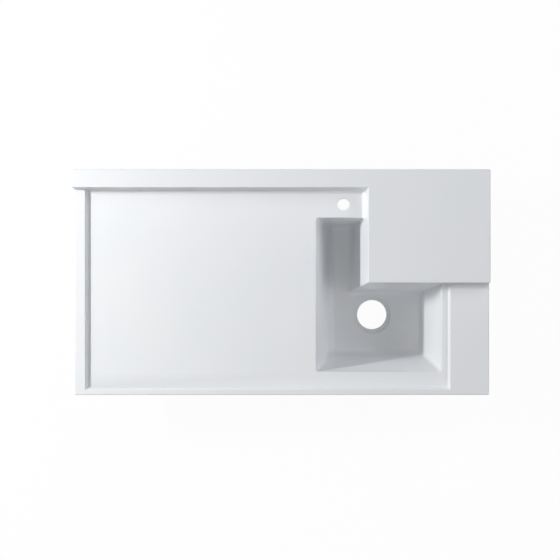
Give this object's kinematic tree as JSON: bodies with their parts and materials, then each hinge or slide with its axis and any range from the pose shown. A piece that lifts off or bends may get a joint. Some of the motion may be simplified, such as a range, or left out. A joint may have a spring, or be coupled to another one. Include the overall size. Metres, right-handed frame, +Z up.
{
  "type": "countertop washbasin",
  "caption": "Wide laundry countertop with a recessed rimmed deck, a raised rear ledge and corner shelf, and a deep L-shaped bowl with a tap hole and a rebated waste hole.",
  "frame": {"origin": "plan centre of the top, on the plane where it rests on its cabinet", "axes": "+X to the right seen from the front, +Y towards the wall, +Z up"},
  "size_m": [1.2, 0.65, 0.279],
  "materials": {
    "solid_surface": "satin, sanded flush, cool white acrylic solid surface",
    "sawn_solid_surface": "saw-cut and unpolished, cool white acrylic solid surface",
    "plywood": "sealed birch plywood"
  },
  "bodies": {
    "root": {"deck_sheet": "solid_surface", "front_rim": "solid_surface", "left_rim": "solid_surface", "right_rim": "solid_surface", "ledge_face": "solid_surface", "ledge_end": "solid_surface", "ledge_cap": "solid_surface", "back_strip": "solid_surface", "shelf_side_face": "solid_surface", "shelf_front_face": "solid_surface", "shelf_right_face": "solid_surface", "shelf_top": "solid_surface", "front_drop_edge": "solid_surface", "left_drop_edge": "solid_surface", "right_drop_edge": "solid_surface", "rear_drop_edge": "solid_surface", "bowl_left_wall": "solid_surface", "bowl_front_wall": "solid_surface", "bowl_right_wall": "solid_surface", "bowl_rear_wall": "solid_surface", "bowl_side_wall": "solid_surface", "bowl_back_wall": "solid_surface", "bowl_left_cove": "solid_surface", "bowl_front_cove": "solid_surface", "bowl_right_cove": "solid_surface", "bowl_rear_cove": "solid_surface", "bowl_side_cove": "solid_surface", "bowl_back_cove": "solid_surface", "bowl_floor": "solid_surface", "shelf_rib_1": "sawn_solid_surface", "shelf_rib_2": "sawn_solid_surface", "waste_ring": "sawn_solid_surface", "tap_pad": "sawn_solid_surface", "front_batten": "plywood", "rear_batten": "plywood", "left_batten": "plywood", "right_batten": "plywood", "cross_batten_1": "plywood", "cross_batten_2": "plywood", "cross_batten_3": "plywood"}
  },
  "joints": []
}
